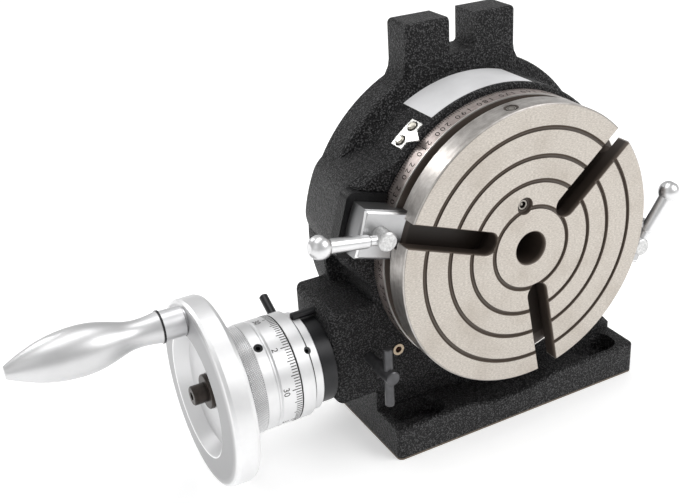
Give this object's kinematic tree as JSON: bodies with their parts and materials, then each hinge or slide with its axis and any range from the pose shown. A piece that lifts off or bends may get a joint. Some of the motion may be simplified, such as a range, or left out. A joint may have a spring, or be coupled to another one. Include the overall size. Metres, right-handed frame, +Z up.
{
  "type": "rotary indexing table",
  "caption": "T-slotted round table in a cast body, turned by a worm with a handwheel, graduated dial and vernier, with a worm release lever and two table clamps.",
  "frame": {"origin": "on the foot's bottom face, straight below the table's axis and halfway along the foot's depth, with the table upright", "axes": "+Z up, +Y from the table's face to the machined back, +X to the right of someone who looks at the table's face"},
  "size_m": [0.3573, 0.0975, 0.2165],
  "materials": {
    "black_casting": "black crackle paint on cast iron",
    "ground_iron": "ground and bare",
    "bright_steel": "turned, satin",
    "dial_steel": "satin chrome with black graduations",
    "black_oxide": "black oxide",
    "lever_chrome": "polished",
    "wheel_aluminium": "satin",
    "bronze": "machined",
    "brass": "plain"
  },
  "bodies": {
    "body": {"body_casting": "black_casting", "spindle_bush": "bronze", "stop_collar": "black_oxide", "stop_collar_screws": "black_oxide", "stop_pin": "black_oxide", "index_pointer": "bright_steel", "pointer_screws": "bright_steel", "body_oiler": "brass"},
    "table": {"rotary_table": "ground_iron", "table_spindle": "ground_iron", "spindle_screws": "black_oxide", "worm_wheel": "bronze", "worm_wheel_screws": "black_oxide", "thrust_washer": "bright_steel", "spindle_locknut": "black_oxide", "table_oiler": "bright_steel", "rim_plug": "bright_steel"},
    "eccentric": {"eccentric_sleeve": "bright_steel", "clamp_ring": "bright_steel", "clamp_ring_screw": "black_oxide", "vernier_ring": "bright_steel", "release_lever": "black_oxide"},
    "worm": {"worm_shaft": "bright_steel", "thrust_collar": "bright_steel", "handwheel": "wheel_aluminium", "handwheel_key": "bright_steel", "end_washer": "black_oxide", "end_screw": "black_oxide", "handle_spindle": "wheel_aluminium", "handle_ring": "black_oxide"},
    "dial": {"graduated_dial": "dial_steel", "dial_set_screw": "black_oxide"},
    "grip": {"crank_grip": "wheel_aluminium"},
    "left_block": {"left_clamp_block": "bright_steel"},
    "right_block": {"right_clamp_block": "bright_steel"},
    "left_clamp": {"left_clamp_screw": "lever_chrome", "left_clamp_lever": "lever_chrome"},
    "right_clamp": {"right_clamp_screw": "lever_chrome", "right_clamp_lever": "lever_chrome"},
    "sleeve_lock": {"lock_screw": "black_oxide", "lock_screw_bar": "black_oxide", "lock_pad": "brass"}
  },
  "joints": [
    {"name": "table_spin", "type": "hinge", "parent": "body", "child": "table", "pos_m": [0, 0, 0.11], "axis": [0, 1, 0], "continuous": true},
    {"name": "sleeve_turn", "type": "hinge", "parent": "body", "child": "eccentric", "pos_m": [-0.1, 0.0056, 0.0545], "axis": [1, 0, 0], "range_deg": [0, 53]},
    {"name": "worm_spin", "type": "hinge", "parent": "eccentric", "child": "worm", "pos_m": [-0.1, 0.003, 0.056], "axis": [1, 0, 0], "continuous": true},
    {"name": "dial_turn", "type": "hinge", "parent": "worm", "child": "dial", "pos_m": [-0.13, 0.003, 0.056], "axis": [1, 0, 0], "continuous": true},
    {"name": "grip_spin", "type": "hinge", "parent": "worm", "child": "grip", "pos_m": [-0.2, 0.00896, 0.09586], "axis": [1, 0, 0], "continuous": true},
    {"name": "left_lever_turn", "type": "hinge", "parent": "body", "child": "left_clamp", "pos_m": [-0.07954, -0.03, 0.13371], "axis": [0, 1, 0], "range_deg": [0, 90]},
    {"name": "left_block_slide", "type": "slide", "parent": "body", "child": "left_block", "axis": [0, 1, 0], "range_m": [0, 0.0003]},
    {"name": "right_lever_turn", "type": "hinge", "parent": "body", "child": "right_clamp", "pos_m": [0.07954, -0.03, 0.08629], "axis": [0, 1, 0], "range_deg": [0, 90]},
    {"name": "right_block_slide", "type": "slide", "parent": "body", "child": "right_block", "axis": [0, 1, 0], "range_m": [0, 0.0003]},
    {"name": "sleeve_lock_turn", "type": "hinge", "parent": "body", "child": "sleeve_lock", "pos_m": [-0.0798, -0.03, 0.058], "axis": [0, 1, 0], "range_deg": [-90, 0]}
  ],
  "couplings": [
    {"joint": "table_spin", "follows": "worm_spin", "ratio": 0.011111},
    {"joint": "left_block_slide", "follows": "left_lever_turn", "m_per_rad": 0.00019035},
    {"joint": "right_block_slide", "follows": "right_lever_turn", "m_per_rad": 0.00019035}
  ]
}
